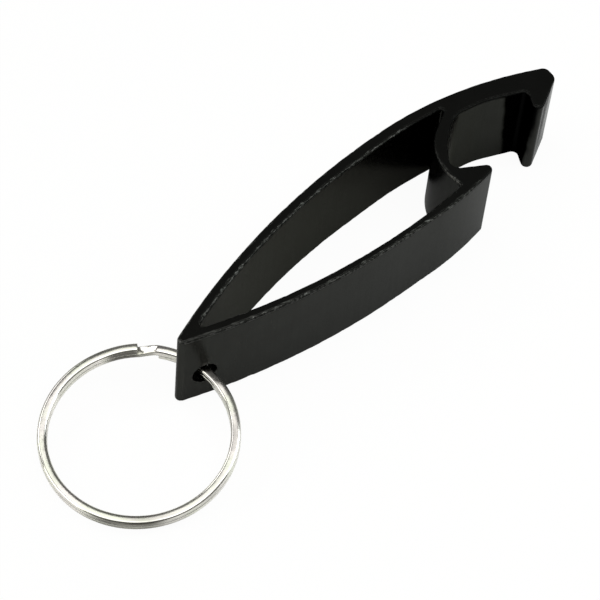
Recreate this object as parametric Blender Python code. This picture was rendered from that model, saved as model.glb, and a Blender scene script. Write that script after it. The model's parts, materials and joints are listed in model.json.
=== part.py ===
"""Keychain bottle opener: a slice of extruded aluminium with a split key ring through its nose.

Row frame, right-handed, in metres: +X runs from the nose to the jaws, +Y from the lower arc to
the upper arc, +Z out of the profile, which is also the direction the bar was extruded in. The
origin is on the back face of the slice, on the land over the cap pocket.

The profile is drawn from its own datum, at mid-thickness, over the line of the key ring hole.
"""

import math

import bmesh
import bpy
from mathutils import Matrix, Vector

MM = 0.001  # every dimension below is in millimetres

# Body: one slice of the extruded bar
THICKNESS = 12.7
ROW_ORIGIN = (58.0, 4.2, -THICKNESS / 2)  # measured from the profile's datum
TO_ROW = Matrix.Translation(Vector(ROW_ORIGIN) * -MM)
EDGE_ROUND = 0.45
EDGE_SEGMENTS = 3
ARC_STEP = math.radians(9.0)  # largest turn between two points of a tight arc
LONG_STEP = 2.4  # longest chord on a large arc

# Profile corners as (x, y, radius). Every corner is replaced by an arc tangent to both sides,
# so the leaf's long arcs are corners with a very large radius.
NOSE = (-4.9, -0.5, 0.8)
UPPER_ARC = ((17.85, 8.05, 120.0), (53.9, 8.3, 58.0))
JAW_END = ((67.7, 1.6, 1.1), (67.3, -0.6, 1.3))
HOOK = (59.4, -4.45, 0.85)
POCKET = (
    (62.3, 0.15, 0.8),
    (56.3, 2.75, 14.0),
    (51.2, 3.62, 3.8),
    (47.0, 0.95, 11.0),
    (43.9, -2.75, 1.3),
)
LIP = ((48.7, -5.75, 0.74), (48.0, -6.65, 0.8))
LOWER_ARC = ((42.15, -7.7, 52.0), (13.85, -6.95, 110.0))
OUTLINE = (NOSE, *UPPER_ARC, *JAW_END, HOOK, *POCKET, *LIP, *LOWER_ARC)

# The long window between the two arcs, closed on the right by the curved cross wall
WINDOW = (
    (-0.4, -0.45, 0.5),
    (17.05, 5.8, 104.0),
    (43.05, 6.41, 57.0),
    (51.5, 5.58, 0.35),
    (43.0, 1.04, 8.9),
    (42.7, -5.79, 0.6),
    (36.95, -6.15, 40.0),
    (19.5, -6.45, 104.0),
)

# Key ring hole, drilled across the nose along Y
HOLE_Z = -1.6
HOLE_RADIUS = 1.66
HOLE = Vector((0, 0, HOLE_Z)) * MM
HOLE_SIDES = 40
HOLE_REACH = 8.0

# Split ring: flat wire wound in two turns that change places at one Z-shaped step
RING_RADIUS = 12.28  # to the middle of the wire
WIRE_WIDTH = 1.28  # across the ring
WIRE_HEIGHT = 0.88  # along the ring's axis
WIRE_CORNER = 0.34
LAYER_GAP = 0.06
STEP_ANGLE = 13.0  # degrees the wire takes to cross from one turn to the other
LOWER_END = 23.0  # degrees from the hole to the lower turn's end
END_LIFT = 0.12  # how far the upper turn's end stands off
END_LIFT_ANGLE = 24.0
RING_STEPS = 150
WIRE_REST = (-0.04, -0.1, -0.14)  # the wire's place in the hole at rest, off its line

# How the ring hangs in the hole at rest, in degrees
RING_SWING = -8.05  # about Y
RING_ROLL = 3.1  # about X
RING_SLEW = 12.6  # about its own axis


def clear_scene():
    """Empties the file of its default objects."""
    for obj in list(bpy.data.objects):
        bpy.data.objects.remove(obj, do_unlink=True)


def rounded_outline(corners):
    """Points of a closed outline whose corners are arcs tangent to the sides."""
    points = []
    count = len(corners)
    for index, (x, y, radius) in enumerate(corners):
        corner = Vector((x, y))
        to_last = (Vector(corners[index - 1][:2]) - corner).normalized()
        to_next = (Vector(corners[(index + 1) % count][:2]) - corner).normalized()
        turn = math.pi - to_last.angle(to_next)
        centre = corner + (to_last + to_next).normalized() * radius / math.cos(turn / 2)
        start = corner + to_last * radius * math.tan(turn / 2) - centre
        side = 1.0 if to_last.cross(to_next) < 0 else -1.0
        steps = max(2, math.ceil(turn / ARC_STEP), math.ceil(radius * turn / LONG_STEP))
        for step in range(steps + 1):
            angle = side * turn * step / steps
            points.append(centre + Matrix.Rotation(angle, 2) @ start)
    return points


def loop_edges(mesh, points, height):
    """Adds one closed loop of vertices at the given height and returns its edges."""
    verts = [mesh.verts.new((p.x * MM, p.y * MM, height * MM)) for p in points]
    return [mesh.edges.new((a, b)) for a, b in zip(verts, verts[1:] + verts[:1])]


def new_object(name, mesh, material):
    """Turns a bmesh into a named, smooth-shaded object with one material."""
    bmesh.ops.recalc_face_normals(mesh, faces=mesh.faces[:])
    data = bpy.data.meshes.new(name)
    mesh.to_mesh(data)
    mesh.free()
    data.materials.append(material)
    data.shade_smooth()
    obj = bpy.data.objects.new(name, data)
    bpy.context.scene.collection.objects.link(obj)
    return obj


def metal(name, colour, roughness):
    """A plain Principled metal."""
    material = bpy.data.materials.new(name)
    material.use_nodes = True
    shader = material.node_tree.nodes["Principled BSDF"]
    shader.inputs["Base Color"].default_value = (*colour, 1.0)
    shader.inputs["Metallic"].default_value = 1.0
    shader.inputs["Roughness"].default_value = roughness
    return material


def extruded_slice(material):
    """The profile with its window, extruded to the slice's thickness."""
    mesh = bmesh.new()
    edges = loop_edges(mesh, rounded_outline(OUTLINE), -THICKNESS / 2)
    edges += loop_edges(mesh, rounded_outline(WINDOW), -THICKNESS / 2)
    face = bmesh.ops.triangle_fill(mesh, use_beauty=True, edges=edges)
    caps = [item for item in face["geom"] if isinstance(item, bmesh.types.BMFace)]
    raised = bmesh.ops.extrude_face_region(mesh, geom=caps)
    top = [item for item in raised["geom"] if isinstance(item, bmesh.types.BMVert)]
    bmesh.ops.translate(mesh, vec=(0, 0, THICKNESS * MM), verts=top)
    bmesh.ops.dissolve_limit(
        mesh, angle_limit=math.radians(0.05), verts=mesh.verts[:], edges=mesh.edges[:]
    )
    return new_object("opener_body", mesh, material)


def round_edges(body):
    """The tumbled edges round both faces of the slice."""
    bevel = body.modifiers.new("tumbled_edges", "BEVEL")
    bevel.width = EDGE_ROUND * MM
    bevel.segments = EDGE_SEGMENTS
    bevel.limit_method = "ANGLE"
    bevel.angle_limit = math.radians(60)


def drill_nose(body):
    """The key ring hole, through the lower wall, the tip of the window and the upper wall."""
    mesh = bmesh.new()
    bmesh.ops.create_cone(
        mesh,
        cap_ends=True,
        segments=HOLE_SIDES,
        radius1=HOLE_RADIUS * MM,
        radius2=HOLE_RADIUS * MM,
        depth=2 * HOLE_REACH * MM,
        matrix=Matrix.Translation(HOLE) @ Matrix.Rotation(math.pi / 2, 4, "X"),
    )
    cutter = new_object("hole_cutter", mesh, body.data.materials[0])
    cutter.data.transform(TO_ROW)
    cutter.hide_render = True
    cutter.display_type = "WIRE"
    hole = body.modifiers.new("ring_hole", "BOOLEAN")
    hole.operation = "DIFFERENCE"
    hole.solver = "EXACT"
    hole.object = cutter


def build_body():
    """The one-piece opener: leaf-shaped frame, cross wall, hooked upper jaw and lower lip."""
    anodised = metal("anodised_black", (0.022, 0.022, 0.021), 0.38)
    body = extruded_slice(anodised)
    body.data.transform(TO_ROW)
    round_edges(body)
    drill_nose(body)
    return body


def wire_section():
    """The wire's section as (across, along) offsets: a flat bar with eased corners."""
    section = []
    for quarter in range(4):
        across = (WIRE_WIDTH / 2 - WIRE_CORNER) * (1 if quarter in (0, 3) else -1)
        along = (WIRE_HEIGHT / 2 - WIRE_CORNER) * (1 if quarter in (0, 1) else -1)
        for step in range(3):
            angle = math.pi / 2 * (quarter + step / 2)
            section.append(
                (across + WIRE_CORNER * math.cos(angle), along + WIRE_CORNER * math.sin(angle))
            )
    return section


def ease(value):
    """Smooth step from 0 to 1."""
    value = min(max(value, 0.0), 1.0)
    return value * value * (3 - 2 * value)


def layer_height(turned):
    """Height of the wire over the ring's middle plane after turning this many degrees."""
    step = ease((turned - (360 - STEP_ANGLE)) / STEP_ANGLE)
    lift = ease((turned - (720 - STEP_ANGLE) + END_LIFT_ANGLE) / END_LIFT_ANGLE)
    return (step - 0.5) * (WIRE_HEIGHT + LAYER_GAP) + lift * END_LIFT


def build_ring():
    """The split ring, swept along its two turns, with its origin on the hole's axis."""
    rest = (
        Matrix.Rotation(math.radians(RING_SWING), 3, "Y")
        @ Matrix.Rotation(math.radians(RING_ROLL), 3, "X")
        @ Matrix.Rotation(math.radians(RING_SLEW), 3, "Z")
    )
    seat = Vector(WIRE_REST)
    mesh = bmesh.new()
    rings = []
    for step in range(RING_STEPS + 1):
        turned = (720 - STEP_ANGLE) * step / RING_STEPS
        angle = math.radians(LOWER_END - turned)
        outward = Vector((math.cos(angle), math.sin(angle), 0))
        ring = []
        for across, along in wire_section():
            point = outward * (RING_RADIUS + across)
            point += Vector((-RING_RADIUS, 0, layer_height(turned) + along))
            ring.append(mesh.verts.new((rest @ point + seat) * MM))
        rings.append(ring)
    for first, second in zip(rings, rings[1:]):
        for index in range(len(first)):
            mesh.faces.new((first[index - 1], first[index], second[index], second[index - 1]))
    mesh.faces.new(rings[0])
    mesh.faces.new(rings[-1])
    ring_object = new_object("split_ring", mesh, metal("nickel_plate", (0.62, 0.61, 0.58), 0.16))
    ring_object.location = TO_ROW @ HOLE
    return ring_object


clear_scene()
build_body()
build_ring()
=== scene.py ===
"""Looks of the keychain bottle opener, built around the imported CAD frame.

The opener is one slice of black anodised aluminium extrusion; the ring is a nickel-plated split
ring of flat wire. Row frame, in metres: +X runs from the nose to the jaws, +Y from the lower arc
to the upper arc, +Z along the extrusion.
"""

import json
import math

import bmesh
import bpy
from mathutils import Matrix, Vector, noise

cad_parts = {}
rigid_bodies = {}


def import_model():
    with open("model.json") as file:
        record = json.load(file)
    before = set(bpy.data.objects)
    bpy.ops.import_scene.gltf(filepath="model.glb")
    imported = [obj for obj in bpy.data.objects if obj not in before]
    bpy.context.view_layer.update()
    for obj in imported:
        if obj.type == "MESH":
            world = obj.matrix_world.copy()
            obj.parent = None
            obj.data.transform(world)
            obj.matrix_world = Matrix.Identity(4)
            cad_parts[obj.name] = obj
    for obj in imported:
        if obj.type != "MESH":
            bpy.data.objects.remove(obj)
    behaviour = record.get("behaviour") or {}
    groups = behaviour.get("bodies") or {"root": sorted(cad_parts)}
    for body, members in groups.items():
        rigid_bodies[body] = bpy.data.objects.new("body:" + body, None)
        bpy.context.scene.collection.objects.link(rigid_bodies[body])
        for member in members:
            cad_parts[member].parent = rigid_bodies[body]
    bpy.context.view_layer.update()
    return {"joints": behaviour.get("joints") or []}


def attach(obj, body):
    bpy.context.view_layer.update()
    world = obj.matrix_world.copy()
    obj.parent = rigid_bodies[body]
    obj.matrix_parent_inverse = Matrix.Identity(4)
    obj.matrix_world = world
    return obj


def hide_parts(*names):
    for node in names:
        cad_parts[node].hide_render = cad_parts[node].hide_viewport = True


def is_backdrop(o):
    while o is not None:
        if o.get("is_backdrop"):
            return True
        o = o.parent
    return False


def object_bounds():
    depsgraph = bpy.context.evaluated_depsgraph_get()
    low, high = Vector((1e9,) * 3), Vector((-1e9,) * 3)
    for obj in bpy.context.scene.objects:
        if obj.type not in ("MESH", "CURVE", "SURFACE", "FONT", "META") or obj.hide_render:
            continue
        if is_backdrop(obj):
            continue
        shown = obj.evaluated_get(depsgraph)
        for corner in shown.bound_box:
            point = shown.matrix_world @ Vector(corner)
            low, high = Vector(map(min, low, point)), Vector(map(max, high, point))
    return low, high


MM = 0.001  # dimensions are in millimetres, apart from the camera, the floor and the lights

# Profile corners as (x, y, radius): each one is an arc tangent to both of its sides
THICKNESS = 12.7
NOSE = (-4.9, -0.5, 0.8)
UPPER_ARC = ((17.85, 8.05, 120.0), (53.9, 8.3, 58.0))
JAW_END = ((67.7, 1.6, 1.1), (67.3, -0.6, 1.3))
HOOK = (59.4, -4.45, 0.85)
POCKET = (
    (62.3, 0.15, 0.8),
    (56.3, 2.75, 14.0),
    (51.2, 3.62, 3.8),
    (47.0, 0.95, 11.0),
    (43.9, -2.75, 1.3),
)
LIP = ((48.7, -5.75, 0.74), (48.0, -6.65, 0.8))
LOWER_ARC = ((42.15, -7.7, 52.0), (13.85, -6.95, 110.0))
OUTLINE = (NOSE, *UPPER_ARC, *JAW_END, HOOK, *POCKET, *LIP, *LOWER_ARC)
WINDOW = (
    (-0.4, -0.45, 0.5),
    (17.05, 5.8, 104.0),
    (43.05, 6.41, 57.0),
    (51.5, 5.58, 0.35),
    (43.0, 1.04, 8.9),
    (42.7, -5.79, 0.6),
    (36.95, -6.15, 40.0),
    (19.5, -6.45, 104.0),
)
ARC_STEP = math.radians(4.0)  # largest turn between two points of a tight arc
LONG_STEP = 0.3  # longest chord anywhere
WALL_STEP = 0.9  # height of one row of wall faces
WALL_MARGIN = 1.3  # a wall's plain rows start this many of the largest roundings from a face

# Tumbled edges: a rounding whose radius wanders a little along the edge
EDGE_ROUND = 0.45
EDGE_ROWS = 7
EDGE_WANDER = 0.16  # share of the radius
EDGE_WANDER_LENGTH = 1.1
EDGE_NICK = 0.07  # depth of the small dings on the edge
EDGE_NICK_LENGTH = 0.75
EDGE_NICK_FLOOR = 0.05  # noise below this leaves no ding
EDGE_NICK_GAIN = 4.0
POCKET_NICKS = 0.2  # depth of the dings on the pocket's edges, as a share
FACE_SPREAD = 3.0  # keeps the dings of the two faces different
CAP_MARGIN = 0.1  # flat band inside the rounding
POCKET_START = 47.0  # beyond this X the edges are less worn
POCKET_BLEND = 5.0
CORNER_SHADE_CENTRE = (62.1, -0.2)  # centre of the painted shade where the pocket meets the hook
CORNER_SHADE_REACH = 2.3  # of the painted shade, on the back face
CORNER_SHADE_SLANT = 0.09  # growth of the reach with height
CORNER_SHADE_BLUR = 0.4  # half-width of the painted shade's soft border
CORNER_SHADE_WANDER = 0.12  # how far the border wanders
HOOK_TIP_START = -2.9  # the hook's tip, below this Y, has no painted shade
INNER_START = -0.5  # walls that face down get painted shade, a weaker grazing reflection, above this Y
INNER_BLEND = 0.7

# Key ring hole
HOLE_Z = -1.6
HOLE_RADIUS = 1.66
HOLE = Vector((0, 0, HOLE_Z)) * MM
HOLE_SIDES = 72
HOLE_REACH = 8.0
RIM_BREAK = 0.14  # deburred rim of the hole
RIM_BREAK_ROWS = 3
RIM_TOLERANCE = 0.02
NOSE_WINDOW = (-1.2, 0.55)  # Y of the window's walls where the hole crosses them
SHARP_ANGLE = math.radians(38.0)

# Split ring
RING_RADIUS = 12.28
WIRE_WIDTH = 1.28
WIRE_HEIGHT = 0.91
OUTER_CORNER = 0.4  # radius of the corners away from the other turn
SEAM_CORNER = 0.15  # radius of the corners next to the other turn
WIRE_CORNER_ROWS = 5
TURN_PITCH = 0.94  # from the middle of one turn to the middle of the other
STEP_ANGLE = 13.0  # length of the step, and gap between the two ends
LOWER_END = 23.0  # length of wire from the lower end to the hole
END_LIFT = 0.12  # the upper end springs up by this
END_LIFT_ANGLE = 24.0
RING_STEPS = 460
WIRE_REST = (-0.04, -0.1, -0.14)  # the wire's place in the hole at rest, off its line
END_ROWS = 3  # eased corners of the cut ends
END_EASE = 0.1
WIRE_WOBBLE = 0.035
WIRE_WOBBLE_ANGLE = 38.0
WIRE_WOBBLE_SEED = 3.7
WIRE_SHARP_ANGLE = math.radians(50.0)
RING_SWING = -8.05  # the ring's rest pose about Y
RING_ROLL = 3.1  # about X
RING_SLEW = 12.6  # about Z
# Painted shade on the plate, dark patches placed along the wire: (degrees turned, half-length,
# place round the section, half-width, strength), where the section's outer top corner is at 0.1
# and its inner top corner at 0.36
RING_SHADE_PATCHES = (
    (534.0, 24.0, 0.02, 0.13, 0.97),
    (174.0, 24.0, 0.98, 0.09, 0.7),
    (698.0, 12.0, 0.50, 0.16, 0.95),
    (338.0, 12.0, 0.45, 0.14, 0.95),
    (664.0, 36.0, 0.10, 0.07, 0.6),
    (352.0, 6.0, 0.40, 0.12, 0.6),
    (560.0, 90.0, 0.98, 0.05, 0.35),
)
RING_SHADE_FULL = 0.5  # share of the half-length and half-width that is fully shaded
RING_SHADE_END = 4 / 3  # of the half-length, where the painted shade has faded out
RING_SHADE_SIDE = 1.5  # of the half-width

# Colours of the anodised body
BLACK_LOW = (0.020, 0.020, 0.0182)
BLACK_HIGH = (0.0265, 0.0275, 0.0250)
DIE_STREAK = (0.046, 0.046, 0.042)
WORN_EDGE = (0.10, 0.10, 0.094)
POCKET_EDGE = (0.006, 0.006, 0.006)
# painted shade in the pocket's corner: a dark reflection painted as colour
CORNER_SHADE_BLACK = (0.004, 0.004, 0.004)
OUTER_TINT = (0.68, 0.68, 0.68)  # of the reflection at a grazing angle
# painted shade: a weaker grazing reflection on the recessed walls of the window and pocket
RECESS_SHADE_TINT = (0.565, 0.565, 0.545)
# painted shade in the pocket's corner, in the grazing reflection
CORNER_SHADE_TINT = (0.1, 0.1, 0.1)

# Colours of the nickel plate, warm and cool; the rounded edges lighter and the flat sides darker,
# as painted light and shade
LIT_EDGE_NICKEL = ((0.86, 0.83, 0.79), (0.81, 0.81, 0.72))
SHADED_FLAT_NICKEL = ((0.53, 0.505, 0.475), (0.50, 0.51, 0.435))
SPOT_NICKEL = (0.46, 0.44, 0.40)
# random smudges, and the colour of the painted shade patches on the ring
SMUDGE_AND_SHADE = (0.10, 0.094, 0.082)

# Paper floor
PAPER = ((0.84, 0.84, 0.83), (0.88, 0.88, 0.87))
PAPER_GLOW = (1.0, 1.0, 0.998)
PAPER_GLOW_SHARE = 0.95  # of what the camera sees

# Camera, in metres; the aim is measured from the profile's datum
CAMERA_AIM = Vector((0.01659, -0.00239, 0.0))
CAMERA_FORWARD = Vector((0.46999, 0.41164, -0.78081))
CAMERA_UP = Vector((0.5142, 0.5913, 0.6212))
CAMERA_DISTANCE = 0.32763
CAMERA_LENS = 150.0
CAMERA_SENSOR = 36.0

FLOOR_REACH = 1.6  # from the middle to a side, in metres

# Soft lights: (name, direction from the opener, distance, width, height, watts, colour)
SOFTBOXES = (
    ("overhead_softbox", (-0.1, -0.08, 0.8), 0.81, 0.86, 0.9, 4.4, (1.0, 1.0, 1.0)),
    ("right_softbox", (0.78, -0.52, 0.34), 0.9, 0.5, 0.35, 1.2, (0.93, 1.0, 0.98)),
    ("near_softbox", (0.07, -0.051, 0.13), 0.156, 0.075, 0.07, 0.053, (0.93, 1.0, 0.98)),
    ("back_softbox", (-0.15, 0.76, 0.62), 0.9, 0.6, 0.35, 1.6, (1.0, 1.0, 1.0)),
    ("left_softbox", (-0.78, 0.36, 0.48), 0.9, 0.6, 0.5, 2.4, (1.0, 0.985, 0.93)),
)
WORLD_LEVEL = 0.22


def rounded_outline(corners, material_side):
    """Points and outward normals of a closed outline. material_side is 1 for an outer
    boundary and -1 for the boundary of a hole."""
    path = []
    count = len(corners)
    for index, (x, y, radius) in enumerate(corners):
        corner = Vector((x, y))
        to_last = (Vector(corners[index - 1][:2]) - corner).normalized()
        to_next = (Vector(corners[(index + 1) % count][:2]) - corner).normalized()
        turn = math.pi - to_last.angle(to_next)
        centre = corner + (to_last + to_next).normalized() * radius / math.cos(turn / 2)
        start = corner + to_last * radius * math.tan(turn / 2) - centre
        side = 1.0 if to_last.cross(to_next) < 0 else -1.0
        steps = max(3, math.ceil(turn / ARC_STEP), math.ceil(radius * turn / LONG_STEP))
        for step in range(steps + 1):
            arm = Matrix.Rotation(side * turn * step / steps, 2) @ start
            path.append((centre + arm, arm.normalized() * -side * material_side))
    return split_long_sides(path)


def split_long_sides(path):
    """Adds points on the straight sides, so that no chord is long."""
    dense = []
    for (point, normal), (following, _) in zip(path, path[1:] + path[:1]):
        pieces = max(1, math.ceil((following - point).length / LONG_STEP))
        for piece in range(pieces):
            dense.append((point.lerp(following, piece / pieces), normal))
    return dense


def slice_rows():
    """Rows of a wall from the bottom cap to the top one, as (inset share of the edge rounding,
    height without the rounding, height share of the rounding, extra inset)."""
    half = THICKNESS / 2
    rounding = []
    for row in range(EDGE_ROWS + 1):
        angle = math.pi / 2 * row / EDGE_ROWS
        rounding.append((1 - math.sin(angle), 1 - math.cos(angle)))
    rows = [(1.0, -half, 0.0, CAP_MARGIN)]
    rows += [(inset, -half, rise, 0.0) for inset, rise in rounding]
    low = -half + EDGE_ROUND * (1 + EDGE_WANDER) * WALL_MARGIN
    walls = math.ceil((THICKNESS - 2 * EDGE_ROUND) / WALL_STEP)
    for row in range(walls + 1):
        rows.append((0.0, low + (-2 * low) * row / walls, 0.0, 0.0))
    rows += [(inset, half, -rise, 0.0) for inset, rise in reversed(rounding)]
    rows.append((1.0, half, 0.0, CAP_MARGIN))
    return rows


def edge_radius(point, height):
    """The tumbled rounding's radius at this place."""
    place = Vector((point.x, point.y, height)) / EDGE_WANDER_LENGTH
    return EDGE_ROUND * (1 + EDGE_WANDER * noise.noise(place))


def edge_nick(point, height, share):
    """Depth of the dings in the rounding, largest in its middle. They are shallower on the
    pocket's edges, which the tumbling stones hardly reach."""
    place = Vector((point.x, point.y, height * FACE_SPREAD + share)) / EDGE_NICK_LENGTH
    depth = EDGE_NICK_GAIN * max(0.0, noise.noise(place) - EDGE_NICK_FLOOR)
    reach = POCKET_NICKS + (1 - POCKET_NICKS) * ease((POCKET_START - point.x) / POCKET_BLEND)
    middle = 4 * share * (1 - share)
    return EDGE_NICK * reach * depth * middle


def wall(mesh, path):
    """Builds the rows of one wall and returns its first and last loops of edges."""
    loops = []
    for inset, height, rise, margin in slice_rows():
        loop = []
        for point, normal in path:
            radius = edge_radius(point, height)
            depth = radius * inset + margin + edge_nick(point, height, inset)
            place = (point - normal * depth).to_3d()
            place.z = height + radius * rise
            loop.append(mesh.verts.new(place * MM))
        loops.append(loop)
    for below, above in zip(loops, loops[1:]):
        for index in range(len(below)):
            mesh.faces.new((below[index - 1], below[index], above[index], above[index - 1]))
    return [
        [mesh.edges.get((loop[index - 1], loop[index])) for index in range(len(loop))]
        for loop in (loops[0], loops[-1])
    ]


def profile_datum():
    """The profile's datum in the row frame: at mid-thickness, over the hole's line."""
    joint = next(joint for joint in frame["joints"] if joint["child"] == "ring")
    return Vector(joint["pos_m"]) - HOLE


def new_piece(name, mesh, material, place=Vector()):
    """Turns a bmesh into a named, smooth-shaded object whose mesh is moved to its place."""
    bmesh.ops.translate(mesh, vec=place, verts=mesh.verts[:])
    bmesh.ops.recalc_face_normals(mesh, faces=mesh.faces[:])
    data = bpy.data.meshes.new(name)
    mesh.to_mesh(data)
    mesh.free()
    data.materials.append(material)
    data.shade_smooth()
    obj = bpy.data.objects.new(name, data)
    bpy.context.scene.collection.objects.link(obj)
    return obj


def hole_cutter(material):
    """The drill for the key ring hole."""
    mesh = bmesh.new()
    bmesh.ops.create_cone(
        mesh,
        cap_ends=True,
        segments=HOLE_SIDES,
        radius1=HOLE_RADIUS * MM,
        radius2=HOLE_RADIUS * MM,
        depth=2 * HOLE_REACH * MM,
        matrix=Matrix.Translation(HOLE) @ Matrix.Rotation(math.pi / 2, 4, "X"),
    )
    return new_piece("hole_drill", mesh, material, datum)


def drill(piece):
    """Cuts the key ring hole and breaks its outer rims."""
    cutter = hole_cutter(piece.data.materials[0])
    hole = piece.modifiers.new("hole", "BOOLEAN")
    hole.operation = "DIFFERENCE"
    hole.solver = "EXACT"
    hole.object = cutter
    graph = bpy.context.evaluated_depsgraph_get()
    cut = bpy.data.meshes.new_from_object(piece.evaluated_get(graph))
    piece.modifiers.clear()
    piece.data = cut
    bpy.data.objects.remove(cutter, do_unlink=True)
    mesh = bmesh.new()
    mesh.from_mesh(cut)
    rims = [edge for edge in mesh.edges if is_outer_rim(edge)]
    bmesh.ops.bevel(
        mesh,
        geom=rims,
        offset=RIM_BREAK * MM,
        segments=RIM_BREAK_ROWS,
        profile=0.5,
        affect="EDGES",
    )
    mesh.to_mesh(cut)
    mesh.free()
    cut.shade_smooth()
    cut.set_sharp_from_angle(angle=SHARP_ANGLE)


def is_outer_rim(edge):
    """True for an edge where the hole breaks through the opener's outside."""
    if len(edge.link_faces) != 2 or edge.calc_face_angle(0.0) < SHARP_ANGLE:
        return False
    first, second = [(vert.co - datum - HOLE) / MM for vert in edge.verts]
    for place in (first, second):
        if abs(math.hypot(place.x, place.z) - HOLE_RADIUS) > RIM_TOLERANCE:
            return False
    low, high = NOSE_WINDOW
    return not low <= (first.y + second.y) / 2 <= high


def build_opener(material):
    """The one-piece opener with tumbled edges and its drilled hole."""
    mesh = bmesh.new()
    outer = wall(mesh, rounded_outline(OUTLINE, 1))
    inner = wall(mesh, rounded_outline(WINDOW, -1))
    for outer_edges, inner_edges in zip(outer, inner):
        bmesh.ops.triangle_fill(mesh, use_beauty=True, edges=outer_edges + inner_edges)
    piece = new_piece("anodised_opener", mesh, material, datum)
    drill(piece)
    return piece


def wire_section(inset, crossed):
    """The wire's section as (across, along) offsets: a bar whose corners are rounder on the
    side away from the other turn. crossed is 0 in the lower turn and 1 in the upper one."""
    grow_across = 1 - inset / (WIRE_WIDTH / 2)
    grow_along = 1 - inset / (WIRE_HEIGHT / 2)
    section = []
    for quarter in range(4):
        outer_share = crossed if quarter in (0, 1) else 1 - crossed
        corner = SEAM_CORNER + (OUTER_CORNER - SEAM_CORNER) * outer_share
        across = (WIRE_WIDTH / 2 - corner) * (1 if quarter in (0, 3) else -1)
        along = (WIRE_HEIGHT / 2 - corner) * (1 if quarter in (0, 1) else -1)
        for step in range(WIRE_CORNER_ROWS + 1):
            angle = math.pi / 2 * (quarter + step / WIRE_CORNER_ROWS)
            x = (across + corner * math.cos(angle)) * grow_across
            y = (along + corner * math.sin(angle)) * grow_along
            section.append((x, y))
    return section


def ease(value):
    """Smooth step from 0 to 1."""
    value = min(max(value, 0.0), 1.0)
    return value * value * (3 - 2 * value)


def fade(value, full, none):
    """1 up to full, and from there smoothly down to 0 at none."""
    return ease((none - value) / (none - full))


def crossing(turned):
    """How far the wire has crossed from the lower turn to the upper one, from 0 to 1."""
    return ease((turned - (360 - STEP_ANGLE)) / STEP_ANGLE)


def layer_height(turned):
    """Height of the wire over the ring's middle plane after turning this many degrees."""
    lift = ease((turned - (720 - STEP_ANGLE) + END_LIFT_ANGLE) / END_LIFT_ANGLE)
    return (crossing(turned) - 0.5) * TURN_PITCH + lift * END_LIFT


def ring_stations():
    """(degrees turned, inset of the section) along the wire, with eased corners at both ends."""
    total = 720 - STEP_ANGLE
    ease_turn = math.degrees(END_EASE / RING_RADIUS)
    end = []
    for row in range(END_ROWS):
        angle = math.pi / 2 * row / END_ROWS
        end.append((ease_turn * (1 - math.cos(angle)), END_EASE * (1 - math.sin(angle))))
    stations = list(end)
    for step in range(RING_STEPS + 1):
        stations.append((ease_turn + (total - 2 * ease_turn) * step / RING_STEPS, 0.0))
    stations += [(total - turned, inset) for turned, inset in reversed(end)]
    return stations


def ring_shade_share(turned, row):
    """Share of painted shade on the plate after turning this many degrees, at this share of the
    section.
    """
    share = 0.0
    for centre, spread, middle, width, strength in RING_SHADE_PATCHES:
        along = fade(abs(turned - centre) / spread, RING_SHADE_FULL, RING_SHADE_END)
        gap = abs(row - middle)
        aside = fade(min(gap, 1 - gap) / width, RING_SHADE_FULL, RING_SHADE_SIDE)
        share = max(share, strength * along * aside)
    return share


def wire_rings(mesh):
    """The wire's sections from end to end, as (length along the wire, its vertices)."""
    rest = (
        Matrix.Rotation(math.radians(RING_SWING), 3, "Y")
        @ Matrix.Rotation(math.radians(RING_ROLL), 3, "X")
        @ Matrix.Rotation(math.radians(RING_SLEW), 3, "Z")
    )
    seat = Vector(WIRE_REST)
    # the painted shade patches, as a share on each vertex
    dull = mesh.verts.layers.float.new("ring_shade_share")
    rings = []
    for turned, inset in ring_stations():
        angle = math.radians(LOWER_END - turned)
        outward = Vector((math.cos(angle), math.sin(angle), 0))
        spot = Vector((turned / WIRE_WOBBLE_ANGLE, WIRE_WOBBLE_SEED, 0.0))
        wobble = WIRE_WOBBLE * noise.noise(spot)
        section = wire_section(inset, crossing(turned))
        ring = []
        for row, (across, along) in enumerate(section):
            point = outward * (RING_RADIUS + across + wobble)
            point += Vector((-RING_RADIUS, 0, layer_height(turned) + along))
            vert = mesh.verts.new((rest @ point + seat) * MM + HOLE)
            vert[dull] = ring_shade_share(turned, row / len(section))
            ring.append(vert)
        rings.append((math.radians(turned) * RING_RADIUS, ring))
    return rings


def wire_strip(mesh, wire, start, first, end, second):
    """The faces between two sections, with (length, share of the section) as their UVs."""
    around = len(first)
    for index in range(around):
        last = (index - 1) % around
        face = mesh.faces.new((first[last], first[index], second[index], second[last]))
        marks = ((start, last), (start, last + 1), (end, last + 1), (end, last))
        for loop, (length, row) in zip(face.loops, marks):
            loop[wire].uv = (length, row / around)


def build_ring(material):
    """The split ring: flat wire in two turns that change places at one step."""
    mesh = bmesh.new()
    wire = mesh.loops.layers.uv.new("wire")
    rings = wire_rings(mesh)
    for (start, first), (end, second) in zip(rings, rings[1:]):
        wire_strip(mesh, wire, start, first, end, second)
    mesh.faces.new(rings[0][1])
    mesh.faces.new(rings[-1][1])
    piece = new_piece("nickel_split_ring", mesh, material, datum)
    piece.data.set_sharp_from_angle(angle=WIRE_SHARP_ANGLE)
    return piece


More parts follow.
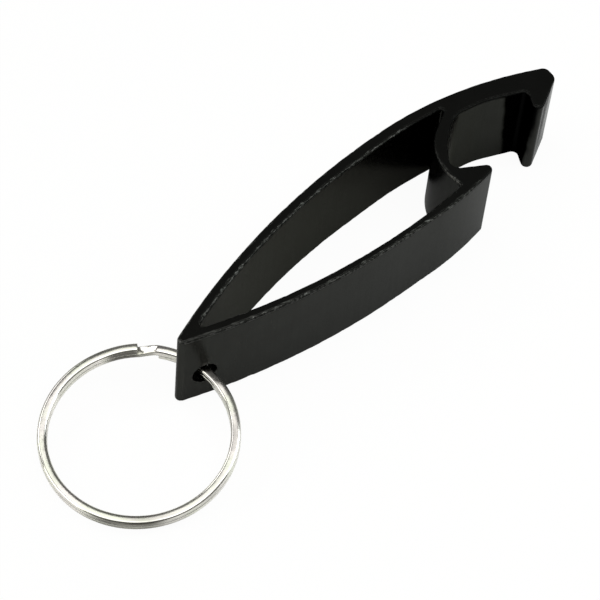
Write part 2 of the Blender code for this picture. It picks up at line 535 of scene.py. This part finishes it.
class Shader:
    """Adds nodes to one new material."""

    def __init__(self, name):
        self.material = bpy.data.materials.new(name)
        self.material.use_nodes = True
        self.tree = self.material.node_tree
        self.surface = self.tree.nodes["Principled BSDF"]

    def add(self, kind, inputs=(), output=0, **settings):
        """Adds a node, sets its inputs from values or sockets, and returns one output."""
        node = self.tree.nodes.new("ShaderNode" + kind)
        for name, value in settings.items():
            setattr(node, name, value)
        for socket, value in dict(inputs).items():
            self.put(node.inputs[socket], value)
        return node.outputs[output]

    def put(self, socket, value):
        """Links an output to a socket or sets the socket's value."""
        if isinstance(value, bpy.types.NodeSocket):
            self.tree.links.new(value, socket)
        elif socket.type == "RGBA":
            socket.default_value = (*value, 1.0)
        else:
            socket.default_value = value

    def set(self, **inputs):
        """Sets inputs of the Principled node; underscores stand for spaces."""
        for name, value in inputs.items():
            self.put(self.surface.inputs[name.replace("_", " ")], value)

    def maths(self, operation, *values):
        """A Math node."""
        return self.add("Math", enumerate(values), operation=operation)

    def product(self, first, second):
        """Two values multiplied."""
        return self.maths("MULTIPLY", first, second)

    def total(self, first, second):
        """Two values added."""
        return self.maths("ADD", first, second)

    def place(self):
        """The place in the row frame at rest, in metres."""
        return self.add("TexCoord", output=3)

    def facing(self):
        """The surface's normal in the row frame at rest."""
        return self.add("TexCoord", output=1)

    def axis(self, vector, index):
        """One component of a vector."""
        return self.add("SeparateXYZ", {0: vector}, output=index)

    def scaled(self, vector, scale):
        """A vector multiplied by another."""
        return self.add("VectorMath", {0: vector, 1: scale}, operation="MULTIPLY")

    def pattern(self, vector, scale, detail, roughness):
        """Noise of 0 to 1; scale is in cells per unit of the vector along each axis."""
        spread = self.scaled(vector, scale)
        inputs = {"Vector": spread, "Scale": 1.0, "Detail": detail, "Roughness": roughness}
        return self.add("TexNoise", inputs)

    def noise(self, scale, detail=3.0, roughness=0.5):
        """Noise of 0 to 1 over the place; scale is in cells per millimetre, alike along every
        axis or one for each."""
        if not isinstance(scale, tuple):
            scale = (scale, scale, scale)
        cells = tuple(axis / MM for axis in scale)
        return self.pattern(self.place(), cells, detail, roughness)

    def span(self, value, low, high, to_low=0.0, to_high=1.0):
        """Maps a range of a value to another with smooth ends."""
        inputs = {0: value, 1: low, 2: high, 3: to_low, 4: to_high}
        return self.add("MapRange", inputs, interpolation_type="SMOOTHSTEP")

    def mix(self, share, first, second):
        """Mixes two colours."""
        inputs = {0: share, 6: first, 7: second}
        return self.add("Mix", inputs, output=2, data_type="RGBA")

    def relief(self, *layers):
        """The normal under bumps laid over one another, each (height, depth in millimetres)."""
        normal = None
        for height, depth in layers:
            inputs = {"Height": height, "Distance": depth * MM, "Strength": 1.0}
            if normal:
                inputs["Normal"] = normal
            normal = self.add("Bump", inputs)
        return normal


def wall_and_edge_shares(shader):
    """Where the surface is a wall, and where it is a rounded edge."""
    flatness = shader.maths("ABSOLUTE", shader.axis(shader.facing(), 2))
    walls = shader.span(flatness, 0.15, 0.7, 1.0, 0.0)
    rising = shader.span(flatness, 0.08, 0.4)
    edges = shader.product(rising, shader.span(flatness, 0.75, 0.98, 1.0, 0.0))
    return walls, edges


def open_share(shader):
    """1 on the frame and 0 round the pocket, which the tumbling stones hardly reach."""
    pocket_x = datum.x + POCKET_START * MM
    x = shader.axis(shader.place(), 0)
    return shader.span(x, pocket_x - POCKET_BLEND * MM, pocket_x, 1.0, 0.0)


def painted_corner_shade(shader, walls, clouds):
    """Painted shade where the pocket's walls meet the hook, apart from the hook's tip: a dark
    reflection painted into the colour and tint.
    """
    corner = datum + Vector((*CORNER_SHADE_CENTRE, 0)) * MM
    place = shader.place()
    offset = shader.add("VectorMath", {0: place, 1: tuple(corner)}, operation="SUBTRACT")
    offset = shader.scaled(offset, (1.0, 1.0, 0.0))
    reach = shader.add("VectorMath", {0: offset}, output=1, operation="LENGTH")
    slant = shader.product(shader.axis(place, 2), CORNER_SHADE_SLANT)
    reach = shader.maths("SUBTRACT", reach, slant)
    wander = shader.span(clouds, 0.3, 0.7, -CORNER_SHADE_WANDER * MM, CORNER_SHADE_WANDER * MM)
    reach = shader.total(reach, wander)
    near = shader.span(
        reach, (CORNER_SHADE_REACH - CORNER_SHADE_BLUR) * MM, (CORNER_SHADE_REACH + CORNER_SHADE_BLUR) * MM, 1.0, 0.0
    )
    tip_y = datum.y + HOOK_TIP_START * MM
    above_tip = shader.span(shader.axis(place, 1), tip_y - CORNER_SHADE_BLUR * MM, tip_y + 0.1 * MM)
    return shader.product(shader.product(near, walls), above_tip)


def recess_shade_share(shader):
    """Walls over the window and the pocket that face down towards the lower arc, where a weaker
    grazing reflection is painted as shade.
    """
    inner_y = datum.y + INNER_START * MM
    above = shader.span(shader.axis(shader.place(), 1), inner_y - INNER_BLEND * MM, inner_y)
    return shader.product(above, shader.span(shader.axis(shader.facing(), 1), -0.3, 0.0, 1.0, 0.0))


def anodised_black():
    """Satin black anodised extrusion: die lines along the walls, tumbled grain, worn edges, and
    painted shade in the pocket's corner and on the recessed walls.
    """
    shader = Shader("anodised_black_finish")
    walls, edges = wall_and_edge_shares(shader)
    worn_part = open_share(shader)
    die_lines = shader.noise((9.0, 9.0, 0.12), 4.0, 0.65)
    broad_lines = shader.noise((1.1, 1.1, 0.02), 2.0)
    grain = shader.noise(7.0, 4.0, 0.7)
    clouds = shader.noise(0.35)
    dings = shader.noise(2.0, 3.0, 0.6)
    pits = shader.span(shader.noise(3.2, 3.0, 0.6), 0.6, 0.72)
    wear = shader.product(shader.product(edges, worn_part), shader.span(dings, 0.46, 0.6))
    dull = shader.product(edges, shader.maths("SUBTRACT", 1.0, worn_part))
    # painted shade: a dark reflection painted where the pocket meets the hook
    corner_shade = painted_corner_shade(shader, walls, clouds)

    colour = shader.mix(clouds, BLACK_LOW, BLACK_HIGH)
    streaks = shader.product(walls, shader.span(die_lines, 0.3, 0.75, 0.0, 0.22))
    colour = shader.mix(streaks, colour, DIE_STREAK)
    colour = shader.mix(shader.product(wear, 0.8), colour, WORN_EDGE)
    colour = shader.mix(shader.product(dull, 0.75), colour, POCKET_EDGE)
    # the painted shade in the pocket's corner darkens the colour and, below, the grazing
    # reflection
    colour = shader.mix(corner_shade, colour, CORNER_SHADE_BLACK)
    # painted shade on the recessed walls: a weaker grazing reflection
    tint = shader.mix(recess_shade_share(shader), OUTER_TINT, RECESS_SHADE_TINT)
    tint = shader.mix(corner_shade, tint, CORNER_SHADE_TINT)

    rough = shader.span(grain, 0.2, 0.8, 0.17, 0.27)
    for share, extra in ((edges, 0.08), (dull, 0.12), (pits, 0.06)):
        rough = shader.total(rough, shader.product(share, extra))

    normal = shader.relief(
        (shader.product(die_lines, walls), 0.0014),
        (shader.product(broad_lines, walls), 0.01),
        (grain, 0.0022),
        (pits, -0.002),
        (shader.product(grain, edges), 0.012),
        (shader.product(dings, edges), 0.14),
    )
    shader.set(
        Base_Color=colour,
        Metallic=1.0,
        Roughness=rough,
        Specular_Tint=tint,
        Normal=normal,
    )
    return shader.material


def nickel_colour(shader, spots, patch):
    """Warm and cool plate, lighter on the wire's rounded edges and darker on its flat sides as
    painted light and shade, with spots, smudges and painted shade patches.
    """
    cloudy = shader.span(shader.noise(0.22), 0.35, 0.65)
    flatness = shader.maths("ABSOLUTE", shader.axis(shader.facing(), 2))
    # painted light and shade: lighter on the rounded edges, darker on the flat sides
    colour = shader.mix(
        shader.span(flatness, 0.92, 0.985),
        shader.mix(cloudy, *LIT_EDGE_NICKEL),
        shader.mix(cloudy, *SHADED_FLAT_NICKEL),
    )
    colour = shader.mix(shader.product(spots, 0.2), colour, SPOT_NICKEL)
    # painted shade patches, broken up by the smudge pattern, with random smudges on top
    dull = shader.add("Attribute", output=2, attribute_name="ring_shade_share")
    dull = shader.product(dull, shader.span(patch, 0.25, 0.55, 0.6, 1.0))
    smudge_and_shade = shader.maths("MAXIMUM", dull, shader.span(patch, 0.52, 0.66, 0.0, 0.35))
    return shader.mix(smudge_and_shade, colour, SMUDGE_AND_SHADE)


def nickel_plate():
    """Bright nickel plate over drawn wire: long drawing lines, handling scratches, dull spots."""
    shader = Shader("nickel_plate_finish")
    wire = shader.add("UVMap", uv_map="wire")
    drawn = shader.pattern(wire, (0.35, 70.0, 1.0), 4.0, 0.6)
    patch = shader.pattern(wire, (0.11, 4.0, 1.0), 2.0, 0.5)
    spots = shader.span(shader.noise(1.6, 4.0, 0.65), 0.52, 0.7)
    scratches = shader.span(shader.noise((0.5, 9.0, 9.0), 3.0, 0.6), 0.58, 0.68)
    rough = shader.span(drawn, 0.25, 0.75, 0.1, 0.17)
    rough = shader.total(rough, shader.product(spots, 0.06))
    waves = shader.noise(0.5, 2.0)
    shader.set(
        Base_Color=nickel_colour(shader, spots, patch),
        Metallic=1.0,
        Roughness=rough,
        Normal=shader.relief((drawn, 0.0016), (scratches, -0.0006), (waves, 0.02)),
    )
    return shader.material


def floor_finish():
    """Pale seamless paper. The camera sees it mostly evenly lit, as on a light table; what the
    metal reflects is the paper with its real shadows."""
    shader = Shader("pale_paper")
    fibres = shader.noise(1.5)
    tone = shader.mix(fibres, *PAPER)
    shader.set(Base_Color=tone, Roughness=0.9, Normal=shader.relief((fibres, 0.01)))
    glow = shader.add("Emission", {"Color": PAPER_GLOW, "Strength": 1.0})
    seen = shader.add("LightPath", output=0)
    share = shader.product(seen, PAPER_GLOW_SHARE)
    paper = shader.surface.outputs[0]
    blend = shader.add("MixShader", {0: share, 1: paper, 2: glow})
    shader.put(shader.tree.nodes["Material Output"].inputs["Surface"], blend)
    return shader.material


def lowest_place(piece):
    """The lowest vertex of a piece."""
    return min((piece.matrix_world @ vert.co for vert in piece.data.vertices), key=lambda p: p.z)


def build_floor(ring):
    """The floor touches the slice at rest. It drops with the ring's lowest place of the rest
    pose when that place swings below the slice."""
    lowest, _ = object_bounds()
    mesh = bmesh.new()
    bmesh.ops.create_grid(mesh, x_segments=8, y_segments=8, size=FLOOR_REACH)
    floor = new_piece("floor", mesh, floor_finish())
    floor.location.z = lowest.z
    marker = bpy.data.objects.new("ring_low_point", None)
    bpy.context.scene.collection.objects.link(marker)
    place = lowest_place(ring)
    marker.location = (place.x, place.y, lowest.z)
    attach(marker, "ring")
    follow = floor.constraints.new("COPY_LOCATION")
    follow.target = marker
    follow.use_x = False
    follow.use_y = False
    limit = floor.constraints.new("LIMIT_LOCATION")
    limit.use_max_z = True
    limit.max_z = lowest.z
    floor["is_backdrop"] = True
    marker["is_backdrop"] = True


def softbox(name, direction, distance, width, height, power, tint):
    """A soft area light aimed at the opener's middle."""
    data = bpy.data.lights.new(name, "AREA")
    data.color = tint
    data.shape = "RECTANGLE"
    data.size = width
    data.size_y = height
    data.energy = power
    light = bpy.data.objects.new(name, data)
    bpy.context.scene.collection.objects.link(light)
    back = Vector(direction).normalized()
    light.location = datum + CAMERA_AIM + back * distance
    light.rotation_mode = "QUATERNION"
    light.rotation_quaternion = back.to_track_quat("Z", "Y")


def build_light():
    """Softboxes all round, one of them close to the lip, and a dim even surrounding."""
    for box in SOFTBOXES:
        softbox(*box)
    world = bpy.data.worlds.new("studio")
    world.use_nodes = True
    background = world.node_tree.nodes["Background"]
    background.inputs["Color"].default_value = (WORLD_LEVEL, WORLD_LEVEL, WORLD_LEVEL, 1.0)
    background.inputs["Strength"].default_value = 1.0
    bpy.context.scene.world = world


def build_camera():
    """The camera, rolled slightly to one side. Colours are shown without a film look."""
    data = bpy.data.cameras.new("camera")
    data.lens = CAMERA_LENS
    data.sensor_width = CAMERA_SENSOR
    data.clip_start = 0.01
    data.clip_end = 20.0
    camera = bpy.data.objects.new("camera", data)
    bpy.context.scene.collection.objects.link(camera)
    forward = CAMERA_FORWARD.normalized()
    right = forward.cross(CAMERA_UP).normalized()
    up = right.cross(forward)
    turn = Matrix((right, up, -forward)).transposed()
    camera.matrix_world = Matrix.LocRotScale(
        datum + CAMERA_AIM - forward * CAMERA_DISTANCE, turn.to_quaternion(), None
    )
    bpy.context.scene.camera = camera
    bpy.context.scene.view_settings.view_transform = "Standard"


for leftover in list(bpy.data.objects):
    bpy.data.objects.remove(leftover, do_unlink=True)
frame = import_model()
datum = profile_datum()

opener = build_opener(anodised_black())
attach(opener, "opener")
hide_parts("opener_body")

split_ring = build_ring(nickel_plate())
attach(split_ring, "ring")
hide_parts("split_ring")

build_floor(split_ring)
build_light()
build_camera()
